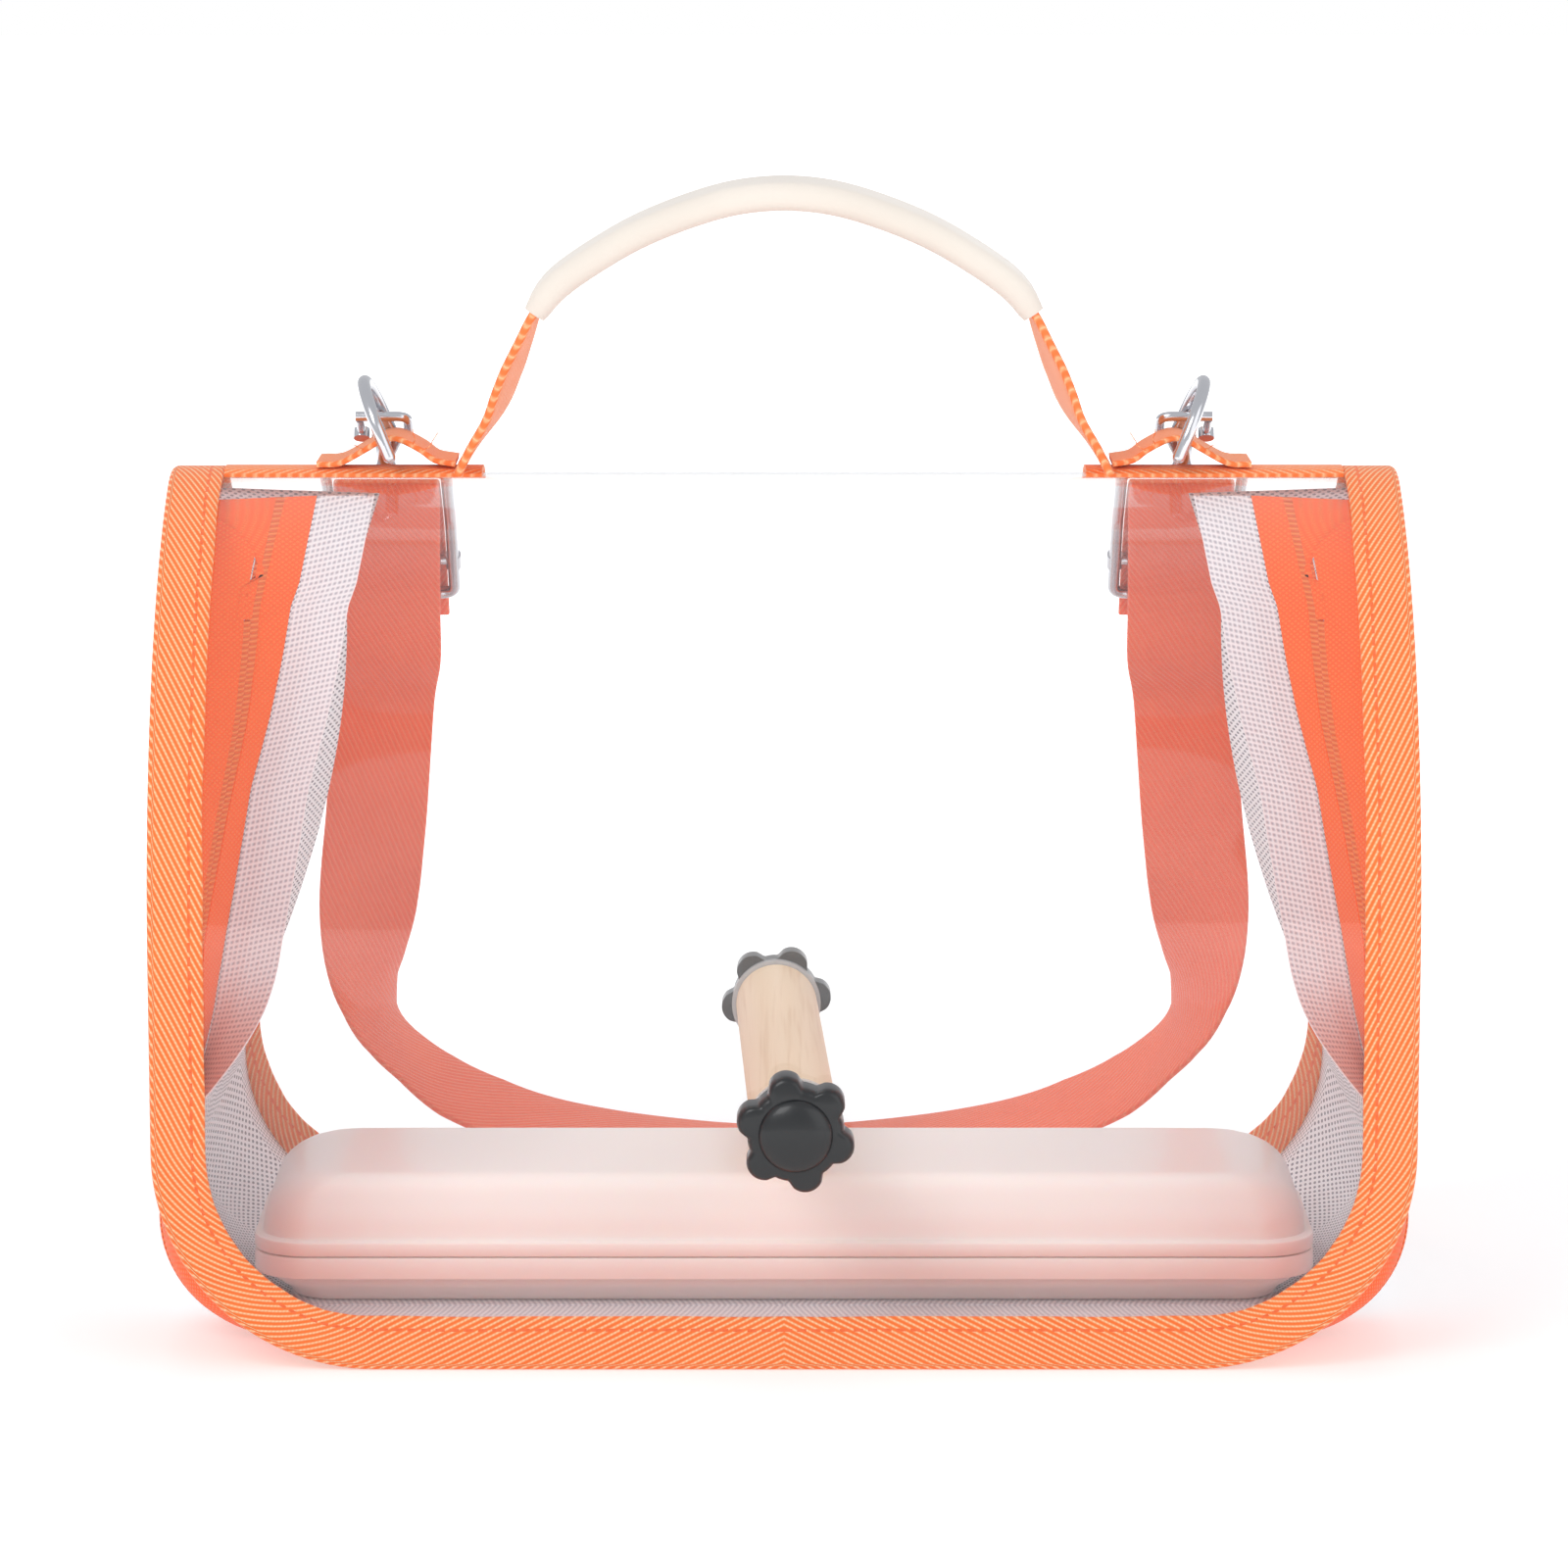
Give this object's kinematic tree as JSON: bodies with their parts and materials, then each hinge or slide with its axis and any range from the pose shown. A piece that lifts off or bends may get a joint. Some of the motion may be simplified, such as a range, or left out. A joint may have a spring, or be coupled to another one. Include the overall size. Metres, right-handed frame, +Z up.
{
  "type": "bird travel carrier",
  "caption": "Arched travel carrier of clear film with webbing edges, folded mesh sides, a zipped front, a wooden perch, a box on the floor, a handle and a shoulder strap.",
  "frame": {"origin": "bottom centre of the whole carrier, with its front knob and hanging strap", "axes": "+Z up, the front faces -Y, X runs along the width"},
  "size_m": [0.2883, 0.1994, 0.2634],
  "materials": {
    "clear_film": "clear flexible film",
    "orange_webbing": "woven binding",
    "orange_tape": "woven zip tape and moulded coil",
    "white_tape": "woven tape",
    "white_mesh": "open mesh",
    "cream_foam": "soft sleeve",
    "steel": "polished wire",
    "beech": "smooth turned wood",
    "charcoal_plastic": "moulded",
    "brass": "turned",
    "clear_plastic": "clear moulded washer",
    "cream_plastic": "satin moulded"
  },
  "bodies": {
    "carrier": {"back_sheet": "clear_film", "back_binding": "orange_webbing", "zip_tape_rear": "orange_tape", "zip_coil_rear": "orange_tape", "seam_tape": "white_tape", "mesh_left": "white_mesh", "mesh_right": "white_mesh", "floor_panel": "white_mesh", "top_strap": "orange_webbing", "ring_loops": "orange_webbing", "handle_feet": "orange_webbing", "perch": "beech", "perch_studs": "steel", "back_washer": "clear_plastic", "inner_washers": "clear_plastic"},
    "front_flap": {"front_sheet": "clear_film", "front_binding": "orange_webbing", "zip_tape_front": "orange_tape", "zip_coil_front": "orange_tape", "front_washer": "clear_plastic"},
    "front_nut": {"front_knob": "charcoal_plastic", "front_insert": "brass"},
    "back_nut": {"back_knob": "charcoal_plastic", "back_insert": "brass"},
    "handle": {"handle_webbing": "orange_webbing", "handle_grip": "cream_foam"},
    "left_ring": {"d_ring_left": "steel"},
    "right_ring": {"d_ring_right": "steel"},
    "strap": {"shoulder_strap": "orange_webbing", "strap_loops": "steel", "snap_hooks": "steel"},
    "left_gate": {"snap_gate_left": "steel"},
    "right_gate": {"snap_gate_right": "steel"},
    "box": {"box_base": "cream_plastic"},
    "lid": {"box_lid": "cream_plastic"},
    "upper_slider": {"zip_slider_upper": "steel"},
    "lower_slider": {"zip_slider_lower": "steel"},
    "upper_pull": {"zip_pull_upper": "steel"},
    "lower_pull": {"zip_pull_lower": "steel"}
  },
  "joints": [
    {"name": "flap_hinge", "type": "hinge", "parent": "carrier", "child": "front_flap", "pos_m": [0, -0.02675, 0.1928], "axis": [-1, 0, 0], "range_deg": [0, 90]},
    {"name": "front_nut_turn", "type": "hinge", "parent": "front_flap", "child": "front_nut", "pos_m": [0.0026, -0.09275, 0.056], "axis": [0, -1, 0], "continuous": true},
    {"name": "back_nut_turn", "type": "hinge", "parent": "carrier", "child": "back_nut", "pos_m": [-0.0019, 0.06725, 0.054], "axis": [0, 1, 0], "continuous": true},
    {"name": "handle_fold", "type": "hinge", "parent": "carrier", "child": "handle", "pos_m": [0, -0.01275, 0.203], "axis": [-1, 0, 0], "range_deg": [-80, 80]},
    {"name": "left_ring_swing", "type": "hinge", "parent": "carrier", "child": "left_ring", "pos_m": [-0.091, -0.01275, 0.2004], "axis": [0, 1, 0], "range_deg": [0, 25]},
    {"name": "right_ring_swing", "type": "hinge", "parent": "carrier", "child": "right_ring", "pos_m": [0.091, -0.01275, 0.2004], "axis": [0, -1, 0], "range_deg": [0, 25]},
    {"name": "strap_swing", "type": "hinge", "parent": "carrier", "child": "strap", "pos_m": [0, 0.00145, 0.20467], "axis": [1, 0, 0], "range_deg": [0, 20]},
    {"name": "left_gate_spring", "type": "hinge", "parent": "strap", "child": "left_gate", "pos_m": [-0.09932, 0.00544, 0.20217], "axis": [0, 0.5299, 0.848], "range_deg": [0, 20], "stiffness_Nm_per_rad": 0.004, "springref_deg": -22.92},
    {"name": "right_gate_spring", "type": "hinge", "parent": "strap", "child": "right_gate", "pos_m": [0.09932, 0.00544, 0.20217], "axis": [0, -0.5299, -0.848], "range_deg": [0, 20], "stiffness_Nm_per_rad": 0.004, "springref_deg": -22.92},
    {"name": "box_slide", "type": "slide", "parent": "carrier", "child": "box", "axis": [0, 1, 0], "range_m": [-0.012, 0.012]},
    {"name": "lid_lift", "type": "slide", "parent": "box", "child": "lid", "axis": [0, 0, 1], "range_m": [0, 0.0095]},
    {"name": "upper_slider_run", "type": "slide", "parent": "carrier", "child": "upper_slider", "axis": [-0.1222, 0.0549, 0.991], "range_m": [0, 0.015]},
    {"name": "lower_slider_run", "type": "slide", "parent": "carrier", "child": "lower_slider", "axis": [0.1818, 0.022, -0.9831], "range_m": [0, 0.012]},
    {"name": "upper_pull_swing", "type": "hinge", "parent": "upper_slider", "child": "upper_pull", "pos_m": [0.13911, -0.05598, 0.08032], "axis": [0.2968, -0.9549, 0], "range_deg": [0, 150]},
    {"name": "lower_pull_swing", "type": "hinge", "parent": "lower_slider", "child": "lower_pull", "pos_m": [0.14162, -0.05588, 0.06447], "axis": [0.2025, -0.9793, 0], "range_deg": [0, 150]}
  ]
}
